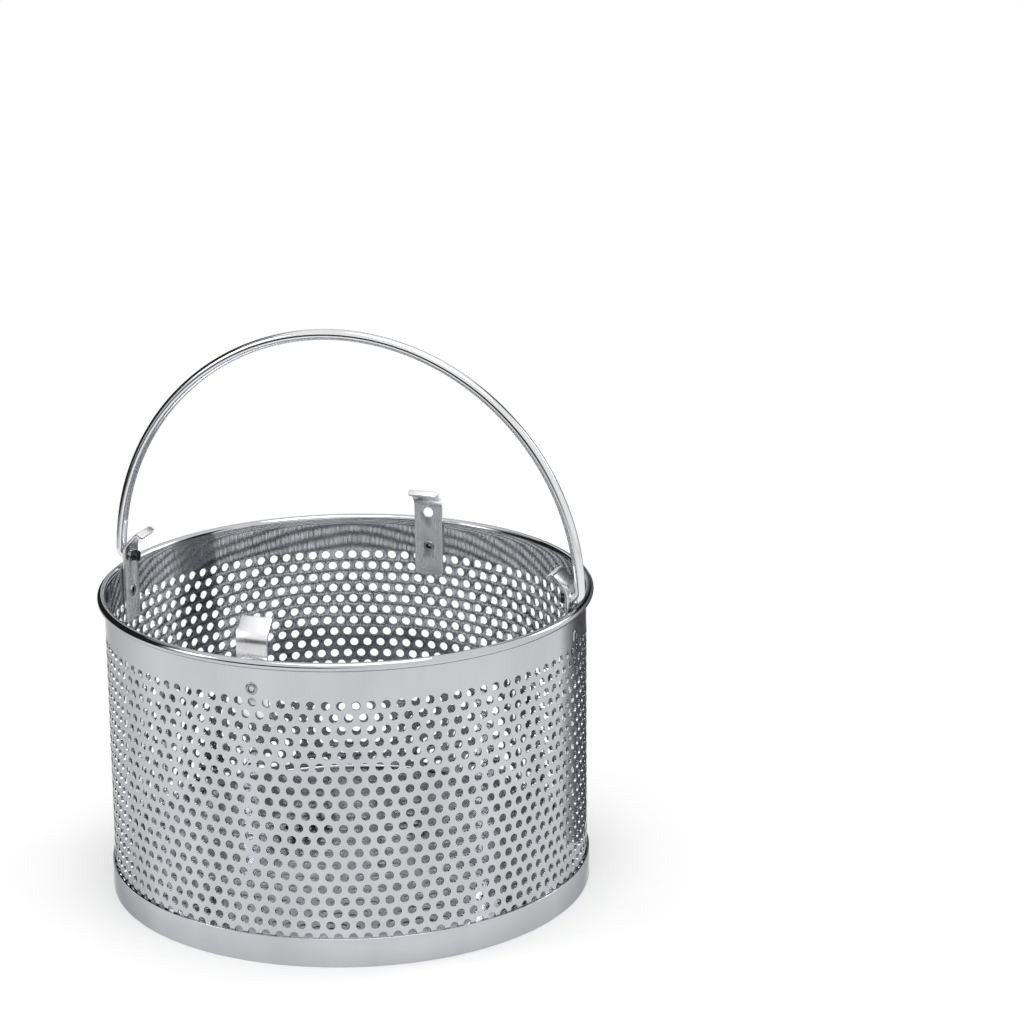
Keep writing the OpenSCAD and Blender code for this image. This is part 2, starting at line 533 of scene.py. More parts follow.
def smooth(made: bpy.types.Object, angle: float = 32.0) -> bpy.types.Object:
    """Shade smooth, keep sharp edges sharp and point the faces outwards.

    Args:
        made: A closed mesh.
        angle: Angle in degrees from which an edge stays sharp.

    Returns:
        The same object.
    """
    shape = bmesh.new()
    shape.from_mesh(made.data)
    bmesh.ops.recalc_face_normals(shape, faces=shape.faces)
    shape.to_mesh(made.data)
    shape.free()
    made.data.shade_smooth()
    made.data.set_sharp_from_angle(angle=math.radians(angle))
    return made


def spot_on(centre: Point, radius: float, degrees: float) -> Point:
    """Point of a circle at an angle."""
    a = math.radians(degrees)
    return (centre[0] + radius * math.cos(a), centre[1] + radius * math.sin(a))


def arc(centre: Point, radius: float, start: float, end: float, steps: int) -> list[Point]:
    """Points of an arc between two angles in degrees, one more than its steps."""
    return [spot_on(centre, radius, start + (end - start) * i / steps) for i in range(steps + 1)]


def rounded_box(x0: float, x1: float, y0: float, y1: float, r: float, steps: int = 3) -> list[Point]:
    """Outline of a rectangle with rounded corners, counter-clockwise."""
    corners = ((x1 - r, y0 + r, -90), (x1 - r, y1 - r, 0), (x0 + r, y1 - r, 90), (x0 + r, y0 + r, 180))
    return [p for x, y, start in corners for p in arc((x, y), r, start, start + 90, steps)]


def ring_angles(steps: int) -> list[float]:
    """Angles of equal steps all round, in radians."""
    return [2 * math.pi * i / steps for i in range(steps)]


def turned(section: list[Point], steps: int) -> list[Point3]:
    """Copies of a (radius, height) section in equal steps about +Z."""
    return [(r * math.cos(a), r * math.sin(a), z) for a in ring_angles(steps) for r, z in section]


def ring_faces(steps: int, size: int, closed: bool = True, base: int = 0) -> list[tuple]:
    """Faces between the copies of a section all round.

    Args:
        steps: Number of copies.
        size: Points in the section.
        closed: Whether the section's last point joins its first.
        base: Index of the first point.

    Returns:
        The faces.
    """
    pairs = [(base + i * size, base + (i + 1) % steps * size) for i in range(steps)]
    sides = [(k, (k + 1) % size) for k in range(size if closed else size - 1)]
    return [(i + k, i + m, j + m, j + k) for i, j in pairs for k, m in sides]


def revolve(name: str, section: list[Point], steps: int) -> bpy.types.Object:
    """Closed ring from a closed (radius, height) section in metres, turned about +Z."""
    return smooth(mesh_object(name, turned(section, steps), ring_faces(steps, len(section))))


# ---------------------------------------------------------------- perforation


def lay_tiles(g: NodeGraph, given: Sockets, across: Socket, rows: Socket, axis: str,
              start: object = 0.0, shift: object = 0.0, reach: Socket | None = None) -> Socket:
    """Copy the tile to every place of a staggered lattice.

    Args:
        g: The geometry graph.
        given: Its inputs, with Tile, Pitch and Row Step.
        across: Places in a row.
        rows: Number of rows.
        axis: Axis that the rows follow, Z for an upright sheet or Y for a flat one.
        start: Place of the first row on that axis.
        shift: Places and rows that lie before the middle.
        reach: Distance from the middle from which places stay empty.

    Returns:
        The copies as real geometry.
    """
    index = g.add("GeometryNodeInputIndex").outputs[0]
    line = g.math("FLOOR", g.math("DIVIDE", g.math("ADD", index, 0.5), across))
    column = g.math("SUBTRACT", g.math("SUBTRACT", index, g.math("MULTIPLY", line, across)), shift)
    row = g.math("SUBTRACT", line, shift)
    odd = g.math("MULTIPLY", g.math("FLOORED_MODULO", row, 2.0), 0.5)
    spot = g.add("ShaderNodeCombineXYZ", {
        "X": g.math("MULTIPLY", g.math("ADD", column, odd), given["Pitch"]),
        axis: g.math("MULTIPLY_ADD", row, given["Row Step"], start)}).outputs[0]
    points = g.add("GeometryNodePoints", {"Count": g.math("MULTIPLY", across, rows),
                                          "Position": spot}).outputs[0]
    chosen = {}
    if reach is not None:
        far = g.length(g.add("GeometryNodeInputPosition").outputs[0])
        chosen["Selection"] = g.add("FunctionNodeCompare", {0: far, 1: reach}, data_type="FLOAT",
                                    operation="LESS_THAN").outputs[0]
    tiles = g.add("GeometryNodeInstanceOnPoints", {"Points": points, "Instance": given["Tile"],
                                                   **chosen}).outputs[0]
    return g.add("GeometryNodeRealizeInstances", {"Geometry": tiles}).outputs[0]


@dataclass
class PunchedTile:
    """One hexagonal tile of the punched sheet, flat, with its round hole."""

    pitch: float = 8.0 * MM
    hole_d: float = 5.0 * MM
    hole_steps: int = 16

    @property
    def corner_r(self) -> float:
        """Distance from the hole's middle to a corner of the tile."""
        return self.pitch / math.sqrt(3)

    @property
    def row_step(self) -> float:
        """Distance between two staggered rows."""
        return 1.5 * self.corner_r

    def outline(self) -> list[Point]:
        """Corners of the tile, the first at the top."""
        return arc((0.0, 0.0), self.corner_r, 90, 450, 6)[:-1]

    def sockets(self, **more: tuple) -> dict[str, tuple]:
        """Inputs of a tree that lays this tile out, as new_tree takes them, with any others."""
        return {"Tile": GEOMETRY, "Pitch": ("Float", self.pitch),
                "Row Step": ("Float", self.row_step), "Steel": MATERIAL, **more}

    def build(self, name: str, upright: bool) -> bpy.types.Object:
        """Make the tile.

        Args:
            name: Object name.
            upright: True for a tile in the XZ plane, False for one in the XY plane.

        Returns:
            The tile, open along its six sides.
        """
        steps = self.hole_steps
        flat = self.outline() + arc((0.0, 0.0), 0.5 * self.hole_d, 90, 450, steps)[:-1]
        verts, faces = [], []
        for depth in (-0.5 * SHEET_T, 0.5 * SHEET_T):
            verts += [(x, depth, y) if upright else (x, y, depth) for x, y in flat]
        n = len(flat)
        i = k = 0
        while i < 6 or k < steps:
            a, b = i % 6, 6 + k % steps
            if (i + 1) / 6 <= (k + 1) / steps and i < 6:
                i += 1
                tri = (a, i % 6, b)
            else:
                k += 1
                tri = (a, 6 + k % steps, b)
            faces += [tri, tuple(n + v for v in reversed(tri))]
        for k in range(steps):
            b, c = 6 + k, 6 + (k + 1) % steps
            faces.append((b, c, n + c, n + b))
        return mesh_object(name, verts, faces)


@dataclass
class PerforatedWall:
    """The sheet cylinder with its staggered holes and its rim rolled outward over a wire."""

    height: float = 173.0 * MM
    columns: int = 106
    rows: int = 20
    first_row: float = 16.8 * MM
    roll_play: float = 1.5 * MM
    roll_turn: float = 255.0
    outer_steps: int = 34
    inner_steps: int = 26
    plain_steps: int = 6
    tile: PunchedTile = field(default_factory=PunchedTile)

    def _section_top(self, low: float) -> list[Point]:
        """Section above the holes, from the inner face over the roll back to the outer face.

        Args:
            low: Height where the plain sheet starts.

        Returns:
            (depth, height) points, depth counted outward from the middle of the sheet.
        """
        half, n = 0.5 * SHEET_T, self.plain_steps
        outer = self.roll_play + SHEET_T
        centre = (-half + outer, self.height - outer)
        end = 180 - self.roll_turn
        inner_side = [(-half, low + (centre[1] - low) * i / n) for i in range(1, n)]
        outer_side = [(half, low + (centre[1] - low) * (n - i) / n) for i in range(1, n)]
        return (inner_side + arc(centre, outer, 180, end, self.outer_steps)
                + arc(centre, self.roll_play, end, 180, self.inner_steps) + outer_side)

    def _bands(self) -> bpy.types.Object:
        """The plain sheet below and above the holes, unrolled flat along X.

        Returns:
            Two open strips whose zigzag edges match the tiles.
        """
        half, tile = 0.5 * SHEET_T, self.tile
        top_row = self.first_row + (self.rows - 1) * tile.row_step
        plain = self._section_top(top_row + tile.corner_r)
        above, below = [], []
        for i in range(2 * self.columns + 1):
            x = i * (0.5 * tile.pitch)
            z = top_row + tile.corner_r * (1.0 if i % 2 == (self.rows - 1) % 2 else 0.5)
            above.append([(x, -half, z)] + [(x, d, h) for d, h in plain] + [(x, half, z)])
            z = self.first_row - tile.corner_r * (1.0 if i % 2 == 0 else 0.5)
            below.append([(x, half, z), (x, half, 0.5 * z), (x, half, 0.0), (x, -half, 0.0),
                          (x, -half, 0.5 * z), (x, -half, z)])
        verts, faces = [], []
        for sections in (above, below):
            size, base = len(sections[0]), len(verts)
            verts += [point for section in sections for point in section]
            for a in range(base, len(verts) - size, size):
                faces += [(a + k, a + k + size, a + k + size + 1, a + k + 1) for k in range(size - 1)]
        return mesh_object("plain_bands", verts, faces)

    def _tree(self) -> bpy.types.NodeTree:
        """Lay the tiles out in staggered rows, join the bands and roll the sheet up.

        Returns:
            The geometry tree with named inputs.
        """
        g, given = new_tree("roll_up_punched_sheet", "Geometry", self.tile.sockets(**{
            "Bands": OBJECT, "Columns": ("Int", self.columns), "Rows": ("Int", self.rows),
            "First Row": ("Float", self.first_row), "Radius": ("Float", WALL_R - 0.5 * SHEET_T)}),
            {"Sheet": "Geometry"})
        tiles = lay_tiles(g, given, given["Columns"], given["Rows"], "Z", start=given["First Row"])
        flat = g.join(tiles, given["Bands"])
        split = g.add("ShaderNodeSeparateXYZ", {0: g.add("GeometryNodeInputPosition").outputs[0]}).outputs
        around = g.math("MULTIPLY", given["Columns"], given["Pitch"])
        angle = g.math("MULTIPLY", g.math("DIVIDE", split["X"], around), 2 * math.pi)
        reach = g.math("ADD", given["Radius"], split["Y"])
        bent = g.add("ShaderNodeCombineXYZ", {"X": g.math("MULTIPLY", reach, g.math("COSINE", angle)),
                                              "Y": g.math("MULTIPLY", reach, g.math("SINE", angle)),
                                              "Z": split["Z"]}).outputs[0]
        rolled = g.add("GeometryNodeSetPosition", {"Geometry": flat, "Position": bent}).outputs[0]
        return g.dress(g.weld(rolled), given["Steel"])

    def build(self, shop: Workshop) -> bpy.types.Object:
        """Build and deliver the wall.

        Args:
            shop: The shared workshop.

        Returns:
            The wall piece.
        """
        wall = self.tile.build("perforated_wall", upright=True)
        bands = self._bands()
        run_tree(wall, self._tree(), {"Bands": bands, "Steel": shop.finish(SHEET)})
        bpy.data.objects.remove(bands)
        return shop.deliver(smooth(wall), BASKET, SHEET, "wall")


@dataclass
class BottomPlate:
    """The recessed bottom: a punched disc with a plain margin and a turned-down edge."""

    radius: float = 133.8 * MM
    under: float = 12.0 * MM
    edge_low: float = 5.0 * MM
    punched_r: float = 121.0 * MM
    corner_r: float = 2.0 * MM
    edge_steps: int = 128
    outer_steps: int = 5
    inner_steps: int = 4
    grid: float = 0.001 * MM
    tile: PunchedTile = field(default_factory=lambda: PunchedTile(hole_steps=12))

    @property
    def middle_z(self) -> float:
        """Height of the middle of the sheet."""
        return self.under + 0.5 * SHEET_T

    @property
    def reach(self) -> int:
        """Tiles from the middle to the edge of the lattice."""
        return math.ceil(self.punched_r / self.tile.row_step)

    def _tree(self) -> bpy.types.NodeTree:
        """Lay tiles on a hexagonal lattice inside a circle and join the margin.

        Returns:
            The geometry tree with named inputs.
        """
        g, given = new_tree("punched_disc", "Geometry", self.tile.sockets(**{
            "Margin": OBJECT, "Side": ("Int", 2 * self.reach + 1),
            "Punched Radius": ("Float", self.punched_r)}), {"Disc": "Geometry"})
        half = g.math("MULTIPLY", g.math("SUBTRACT", given["Side"], 1.0), 0.5)
        tiles = lay_tiles(g, given, given["Side"], given["Side"], "Y", shift=half,
                          reach=given["Punched Radius"])
        return g.dress(g.weld(g.join(tiles, given["Margin"])), given["Steel"])

    def _spots(self) -> list[Point]:
        """Find the tiles inside the punched circle.

        Returns:
            Their middles.
        """
        places = range(-self.reach, self.reach + 1)
        spots = [((column + 0.5 * (row % 2)) * self.tile.pitch, row * self.tile.row_step)
                 for row in places for column in places]
        return [spot for spot in spots if math.hypot(*spot) < self.punched_r]

    def _key(self, p: Point) -> tuple[int, int]:
        """A point's place on a fine grid, the same for points that meet."""
        return (round(p[0] / self.grid), round(p[1] / self.grid))

    def _lattice_edge(self) -> list[list[Point]]:
        """Edges of the tiles that only one tile has.

        Returns:
            Pairs of points along the zigzag edge of the punched field.
        """
        seen: dict[tuple, list[Point]] = {}
        corners = self.tile.outline()
        for x, y in self._spots():
            loop = [(x + cx, y + cy) for cx, cy in corners]
            for i in range(6):
                pair = [loop[i], loop[(i + 1) % 6]]
                key = tuple(sorted(self._key(p) for p in pair))
                if seen.pop(key, None) is None:
                    seen[key] = pair
        return list(seen.values())

    def _hexagon_distance(self, x: float, y: float) -> float:
        """Distance of a point from a tile's middle, counted square to the nearest side."""
        return max(abs(x * math.cos(a) + y * math.sin(a)) for a in (0.0, math.pi / 3, 2 * math.pi / 3))

    def _flat_margin(self) -> tuple[list[Vector], list[tuple]]:
        """The flat sheet between the punched field and the bend.

        Returns:
            Its points and its triangles.
        """
        found: dict[tuple, tuple[int, Point]] = {}
        rims = [tuple(found.setdefault(self._key(p), (len(found), p))[0] for p in pair)
                for pair in self._lattice_edge()]
        points = [p for _, p in found.values()]
        flat_r, first, steps = self.radius - self.corner_r, len(points), self.edge_steps
        points += [(x, y) for x, y, _ in turned([(flat_r, 0.0)], steps)]
        rims += [(first + i, first + (i + 1) % steps) for i in range(steps)]
        out, _, tris = delaunay_2d_cdt([Vector(p) for p in points], rims, [], 0, EPSILON)[:3]
        spots, kept = self._spots(), []
        for tri in tris:
            x, y = (sum(out[v][axis] for v in tri) / 3 for axis in (0, 1))
            if self.punched_r - self.tile.pitch <= math.hypot(x, y) <= flat_r:
                close = min(self._hexagon_distance(x - sx, y - sy) for sx, sy in spots)
                if close > 0.5 * self.tile.pitch + TOUCH:
                    kept.append(tri)
        return out, kept

    def _margin(self) -> bpy.types.Object:
        """The plain margin and the turned-down edge.

        Returns:
            A mesh that is open only along the zigzag edge.
        """
        out, kept = self._flat_margin()
        half, low = 0.5 * SHEET_T, self.edge_low - self.middle_z
        verts = [(p.x, p.y, z) for z in (-half, half) for p in out]
        faces = [tuple(base + v for v in tri) for base in (0, len(out)) for tri in kept]
        centre = (self.radius - self.corner_r, half - self.corner_r)
        section = (arc(centre, self.corner_r, 90, 0, self.outer_steps)
                   + [(self.radius, low), (self.radius - SHEET_T, low)]
                   + arc(centre, self.corner_r - SHEET_T, 0, 90, self.inner_steps))
        faces += ring_faces(self.edge_steps, len(section), closed=False, base=len(verts))
        return mesh_object("margin", verts + turned(section, self.edge_steps), faces)

    def build(self, shop: Workshop) -> bpy.types.Object:
        """Build and deliver the bottom.

        Args:
            shop: The shared workshop.

        Returns:
            The bottom piece.
        """
        plate = self.tile.build("bottom_plate", upright=False)
        margin = self._margin()
        run_tree(plate, self._tree(), {"Margin": margin, "Steel": shop.finish(SHEET)})
        bpy.data.objects.remove(margin)
        plate.data.transform(Matrix.Translation((0, 0, self.middle_z)))
        return shop.deliver(smooth(plate), BASKET, SHEET, "bottom")


# ---------------------------------------------------------------- ring, wire and rod


@dataclass
class BaseRing:
    """The plain ring round the foot."""

    inner_r: float = 135.2 * MM
    height: float = 16.3 * MM
    edge_r: float = 0.3 * MM
    steps: int = 240

    def build(self, shop: Workshop) -> bpy.types.Object:
        """Build and deliver the ring."""
        section = rounded_box(self.inner_r, self.inner_r + SHEET_T, 0.0, self.height, self.edge_r)
        return shop.deliver(revolve("foot_ring", section, self.steps), BASKET, PLAIN, "base_ring")


@dataclass
class RoundRod:
    """Round rod swept along a path by a geometry tree."""

    radius: float
    sides: int

    def _tree(self) -> bpy.types.NodeTree:
        """Sweep a circle along the input's edges, thinned by its rod_share attribute.

        Returns:
            The geometry tree with named inputs.
        """
        g, given = new_tree("rod_along_path", "Geometry", {
            "Path": GEOMETRY, "Radius": ("Float", self.radius), "Sides": ("Int", self.sides),
            "Steel": MATERIAL}, {"Rod": "Geometry"})
        share = g.add("GeometryNodeInputNamedAttribute", {"Name": "rod_share"},
                      data_type="FLOAT").outputs[0]
        path = g.add("GeometryNodeMeshToCurve", {0: given["Path"]}).outputs[0]
        section = g.add("GeometryNodeCurvePrimitiveCircle", {"Resolution": given["Sides"],
                                                             "Radius": given["Radius"]}).outputs[0]
        swept = g.add("GeometryNodeCurveToMesh", {"Curve": path, "Profile Curve": section,
                                                  "Scale": share, "Fill Caps": True})
        return g.dress(swept.outputs[0], given["Steel"])

    def sweep(self, name: str, path: list[Point3], share: list[float], closed: bool,
              steel: bpy.types.Material) -> bpy.types.Object:
        """Build the rod.

        Args:
            name: Object name.
            path: Points of the middle line.
            share: Share of the full radius at each point.
            closed: True for a ring.
            steel: The material.

        Returns:
            The rod as a closed mesh.
        """
        edges = [(i, i + 1) for i in range(len(path) - 1)]
        if closed:
            edges.append((len(path) - 1, 0))
        made = mesh_object(name, path, [], edges)
        made.data.attributes.new("rod_share", "FLOAT", "POINT").data.foreach_set("value", share)
        return smooth(run_tree(made, self._tree(), {"Steel": steel}))


@dataclass
class RimWire:
    """The wire inside the rolled rim."""

    ring_r: float = 136.5 * MM
    height: float = 170.5 * MM
    radius: float = 1.2 * MM
    steps: int = 200
    sides: int = 12

    def build(self, shop: Workshop) -> bpy.types.Object:
        """Build and deliver the wire.

        Args:
            shop: The shared workshop.

        Returns:
            The wire piece.
        """
        path = turned([(self.ring_r, self.height)], self.steps)
        rod = RoundRod(self.radius, self.sides)
        made = rod.sweep("rim_core_wire", path, [1.0] * len(path), True, shop.finish(WIRE))
        return shop.deliver(made, BASKET, WIRE, "rim_wire")


@dataclass
class Bail:
    """The swinging handle: a round rod bent to an arch with inward elbows and straight ends."""

    radius: float = 3.0 * MM
    sides: int = 48
    arch_r: float = 138.114 * MM
    arch_rise: float = 0.9 * MM
    arch_steps: int = 200
    elbow_r: float = 4.4 * MM
    elbow_steps: int = 14
    end_x: float = 127.514 * MM
    end_steps: int = 4
    bevel: float = 0.5 * MM
    bevel_turns: tuple[float, ...] = (0.0, 0.5, 1.05, math.pi / 2)

    def _middle_line(self) -> tuple[list[Point3], list[float]]:
        """Middle line from one end over the arch to the other, its ends rounded off.

        Returns:
            The points and the share of the full radius at each.
        """
        lift = self.elbow_r - self.arch_rise
        elbow_x = math.sqrt((self.arch_r - self.elbow_r) ** 2 - lift ** 2)
        lean = math.degrees(math.atan2(lift, elbow_x))
        half = [(self.end_x + self.bevel * (1 - math.cos(t)), PIVOT_Z) for t in self.bevel_turns]
        half += [(self.end_x + (elbow_x - self.end_x) * i / self.end_steps, PIVOT_Z)
                 for i in range(1, self.end_steps)]
        half += arc((elbow_x, PIVOT_Z + self.elbow_r), self.elbow_r, -90, lean, self.elbow_steps)
        arch = arc((0.0, PIVOT_Z + self.arch_rise), self.arch_r, lean, 180 - lean, self.arch_steps)[1:-1]
        cut = self.bevel / self.radius
        thin = [1 - cut * (1 - math.sin(t)) for t in self.bevel_turns]
        line = half + arch + [(-x, z) for x, z in reversed(half)]
        full = [1.0] * (len(line) - 2 * len(thin))
        return [(x, 0.0, z) for x, z in line], thin + full + thin[::-1]

    def build(self, shop: Workshop) -> bpy.types.Object:
        """Build and deliver the bail.

        Args:
            shop: The shared workshop.

        Returns:
            The bail piece.
        """
        path, share = self._middle_line()
        rod = RoundRod(self.radius, self.sides)
        made = rod.sweep("bail_rod", path, share, False, shop.finish(ROD))
        return shop.deliver(made, HANDLE, ROD, "bail")


# ---------------------------------------------------------------- brackets and rivets


@dataclass
class StackingBracket:
    """One bent strip that stands above the rim and carries the next basket."""

    side: Side
    pivot_hole: bool = True
    wall_ri: float = 134.0 * MM
    play: float = 0.1 * MM
    width: float = 17.5 * MM
    thickness: float = 1.5 * MM
    low: float = 138.8 * MM
    bend_z: float = 180.0 * MM
    bend_r: float = 9.6 * MM
    bend_steps: tuple[int, int] = (16, 14)
    leaf_angle: float = 43.5
    leaf_length: float = 7.2 * MM
    fold_r: float = 2.2 * MM
    fold_steps: tuple[int, int] = (14, 10)
    lip_angle: float = 32.0
    lip_length: float = 2.8 * MM
    rivet_hole_d: float = 4.1 * MM
    pivot_hole_d: float = 6.16 * MM
    hole_sides: int = 56
    corner_r: float = 1.5 * MM
    corner_steps: int = 6
    edge_r: float = 0.25 * MM
    edge_angle: float = 40.0
    smooth_angle: float = 50.0
    tip_share: float = 1.02

    @property
    def outer_x(self) -> float:
        """Distance of the strip's outer face from the middle of the basket."""
        return math.sqrt(self.wall_ri ** 2 - 0.25 * self.width ** 2) - self.play

    def _section(self) -> list[Point]:
        """Side view of the strip.

        Returns:
            The closed outline, up the outer face and down the inner one.
        """
        leaf, end, t = self.leaf_angle, 90 + self.lip_angle, self.thickness
        lean, last = math.radians(leaf), math.radians(end)
        bend_c = (self.outer_x - self.bend_r, self.bend_z)
        reach = self.bend_r - self.fold_r
        fold_c = (bend_c[0] + reach * math.cos(lean) - self.leaf_length * math.sin(lean),
                  bend_c[1] + reach * math.sin(lean) + self.leaf_length * math.cos(lean))
        lip_c = (fold_c[0] - self.lip_length * math.sin(last),
                 fold_c[1] + self.lip_length * math.cos(last))
        return [(self.outer_x, self.low), *arc(bend_c, self.bend_r, 0, leaf, self.bend_steps[0]),
                *arc(fold_c, self.fold_r, leaf, end, self.fold_steps[0]),
                spot_on(lip_c, self.fold_r, end), spot_on(lip_c, self.fold_r - t, end),
                *arc(fold_c, self.fold_r - t, end, leaf, self.fold_steps[1]),
                *arc(bend_c, self.bend_r - t, leaf, 0, self.bend_steps[1]), (self.outer_x - t, self.low)]

    def _drill(self, height: float, diameter: float) -> bpy.types.Object:
        """Make a cutter for a round hole through the strip.

        Args:
            height: Height of the hole.
            diameter: Its diameter.

        Returns:
            The cutter.
        """
        shape = bmesh.new()
        bmesh.ops.create_cone(shape, cap_ends=True, segments=self.hole_sides, radius1=0.5 * diameter,
                              radius2=0.5 * diameter, depth=8 * self.thickness)
        place = Matrix.Translation((self.outer_x, 0, height)) @ Matrix.Rotation(math.pi / 2, 4, "Y")
        bmesh.ops.transform(shape, matrix=place, verts=shape.verts)
        cutter = mesh_object("cutter", [], [])
        shape.to_mesh(cutter.data)
        shape.free()
        return cutter

    def _round_corners(self, made: bpy.types.Object) -> None:
        """Round the four corners of the strip, two at the foot and two at the lip.

        Args:
            made: The strip.
        """
        lip_x, lip_z = min(self._section(), key=lambda p: p[0])
        shape = bmesh.new()
        shape.from_mesh(made.data)
        chosen = []
        for edge in shape.edges:
            a, b = (v.co for v in edge.verts)
            if abs(abs(a.y) - 0.5 * self.width) > TOUCH or abs(a.y - b.y) > TOUCH:
                continue
            foot = abs(a.z - self.low) < TOUCH and abs(b.z - self.low) < TOUCH
            near = all(math.hypot(p.x - lip_x, p.z - lip_z) < self.tip_share * self.thickness
                       for p in (a, b))
            if foot or (near and abs((a - b).length - self.thickness) < 10 * TOUCH):
                chosen.append(edge)
        bmesh.ops.bevel(shape, geom=chosen, offset=self.corner_r, segments=self.corner_steps,
                        profile=0.5, affect="EDGES")
        shape.to_mesh(made.data)
        shape.free()

    def build(self, shop: Workshop) -> bpy.types.Object:
        """Build and deliver the bracket.

        Args:
            shop: The shared workshop.

        Returns:
            The bracket piece.
        """
        section = self._section()
        count, half = len(section), 0.5 * self.width
        verts = [(x, y, z) for y in (-half, half) for x, z in section]
        faces = [tuple(range(count)), tuple(range(2 * count - 1, count - 1, -1))]
        faces += [(k, count + k, count + (k + 1) % count, (k + 1) % count) for k in range(count)]
        made = mesh_object(f"{self.side.named('bracket')}_strip", verts, faces)
        self._round_corners(made)
        drills = [self._drill(RIVET_Z, self.rivet_hole_d)]
        if self.pivot_hole:
            drills.append(self._drill(PIVOT_Z, self.pivot_hole_d))
        for drill in drills:
            cut = made.modifiers.new("hole", "BOOLEAN")
            cut.object, cut.operation, cut.solver = drill, "DIFFERENCE", "EXACT"
        apply_modifiers(made)
        for drill in drills:
            bpy.data.objects.remove(drill)
        soften = made.modifiers.new("edge", "BEVEL")
        soften.width, soften.segments, soften.limit_method = self.edge_r, 2, "ANGLE"
        soften.angle_limit = math.radians(self.edge_angle)
        apply_modifiers(made)
        made.data.transform(Matrix.Rotation(math.radians(self.side.value), 4, "Z"))
        return shop.deliver(smooth(made, self.smooth_angle), BASKET, STRIP, self.side.named("bracket"))


@dataclass
class HollowRivets:
    """The four hollow rivets that hold the brackets to the wall."""

    strip_ri: float = 132.114 * MM
    shank_r: float = 2.0 * MM
    bore_r: float = 1.4 * MM
    head_r: float = 3.4 * MM
    head_h: float = 0.7 * MM
    head_steps: int = 12
    sides: int = 40

    def _head(self, face: float, height: float, start: float, end: float) -> list[Point]:
        """Half-elliptic section of a rolled-over head.

        Args:
            face: Where the face lies that carries the head.
            height: Height of the head, negative for one that stands inward.
            start: First angle in degrees.
            end: Last angle in degrees.

        Returns:
            (radius, place) points.
        """
        middle, half = 0.5 * (self.bore_r + self.head_r), 0.5 * (self.head_r - self.bore_r)
        round_half = arc((0.0, 0.0), 1.0, start, end, self.head_steps)
        return [(middle + half * x, face + height * y) for x, y in round_half]

    def _rivet(self) -> bpy.types.Object:
        """Make one rivet on +X, turned about its own axis.

        Returns:
            The rivet.
        """
        section = [(self.shank_r, self.strip_ri), *self._head(self.strip_ri, -self.head_h, 0, 180),
                   *self._head(WALL_R, self.head_h, 180, 0), (self.shank_r, WALL_R)]
        made = revolve("hollow_rivets", section, self.sides)
        made.data.transform(Matrix.Translation((0, 0, RIVET_Z)) @ Matrix.Rotation(math.pi / 2, 4, "Y"))
        return made

    def _tree(self) -> bpy.types.NodeTree:
        """Repeat the rivet round the basket.

        Returns:
            The geometry tree with named inputs.
        """
        g, given = new_tree("rivets_round_wall", "Geometry", {
            "Rivet": GEOMETRY, "Count": ("Int", len(Side)), "Steel": MATERIAL},
            {"Rivets": "Geometry"})
        points = g.add("GeometryNodePoints", {"Count": given["Count"]}).outputs[0]
        index = g.add("GeometryNodeInputIndex").outputs[0]
        turn = g.math("MULTIPLY", g.math("DIVIDE", index, given["Count"]), 2 * math.pi)
        way = g.add("ShaderNodeCombineXYZ", {"Z": turn}).outputs[0]
        copies = g.add("GeometryNodeInstanceOnPoints", {"Points": points, "Rotation": way,
                                                        "Instance": given["Rivet"]}).outputs[0]
        return g.dress(copies, given["Steel"])

    def build(self, shop: Workshop) -> bpy.types.Object:
        """Build and deliver the rivets, as one piece."""
        made = run_tree(self._rivet(), self._tree(), {"Steel": shop.finish(BRIGHT)})
        return shop.deliver(smooth(made), BASKET, BRIGHT, *(side.named("rivet") for side in Side))


# ---------------------------------------------------------------- studio


@dataclass(frozen=True)
class Card:
    """A curved card that only the metal reflects and that fades at its ends.

    Attributes:
        name: Object name.
        radius: Radius of its curve.
        around: First and last angle round +Z, in degrees.
        up: (radius share, height) of each ring, from the lowest up.
        centre: Middle of the curve.
        shade: Its grey level.
        soft: Share of its width that fades at the first and at the last end.
        facing: For a whole round, how far towards the basket a side turns as it fades in.
    """

    name: str
    radius: float
    around: Point
    up: tuple[Point, ...]
    centre: Point = (0.0, 0.0)
    shade: float = 0.02
    soft: Point = (0.25, 0.25)
    facing: Point = (0.66, 0.92)
    steps: int = 72

    def _cover(self) -> list[float]:
        """How solid the card is at each step of a ring.

        Returns:
            Values from 0 to 1.
        """
        first, last = self.around
        shares = [i / self.steps for i in range(self.steps + 1)]
        if last - first < 360:
            return [min(1.0, s / self.soft[0], (1 - s) / self.soft[1]) for s in shares]
        away = math.atan2(self.centre[1], self.centre[0])
        start, full = self.facing
        turned_in = [-math.cos(math.radians(first + (last - first) * s) - away) for s in shares]
        return [max(0.0, min(1.0, (t - start) / (full - start))) for t in turned_in]

    def stand(self) -> None:
        """Build the card and keep it out of every view but the metal's."""
        verts = [(x, y, z) for share, z in self.up
                 for x, y in arc(self.centre, self.radius * share, *self.around, self.steps)]
        wide = self.steps + 1
        faces = [(a, a + 1, a + wide + 1, a + wide)
                 for row in range(len(self.up) - 1) for a in range(row * wide, row * wide + self.steps)]
        made = mesh_object(self.name, verts, faces)
        cover = made.data.attributes.new("cover", "FLOAT", "POINT")
        cover.data.foreach_set("value", self._cover() * len(self.up))
        paint, g = new_material(self.name)
        shown = g.add("ShaderNodeAttribute", attribute_name="cover").outputs["Fac"]
        flat = g.add("ShaderNodeBsdfDiffuse", {"Color": (*[self.shade] * 3, 1.0)})
        g.show(g.mix(shown, g.add("ShaderNodeBsdfTransparent"), flat))
        made.data.materials.append(paint)
        made.visible_camera = made.visible_shadow = made.visible_diffuse = False


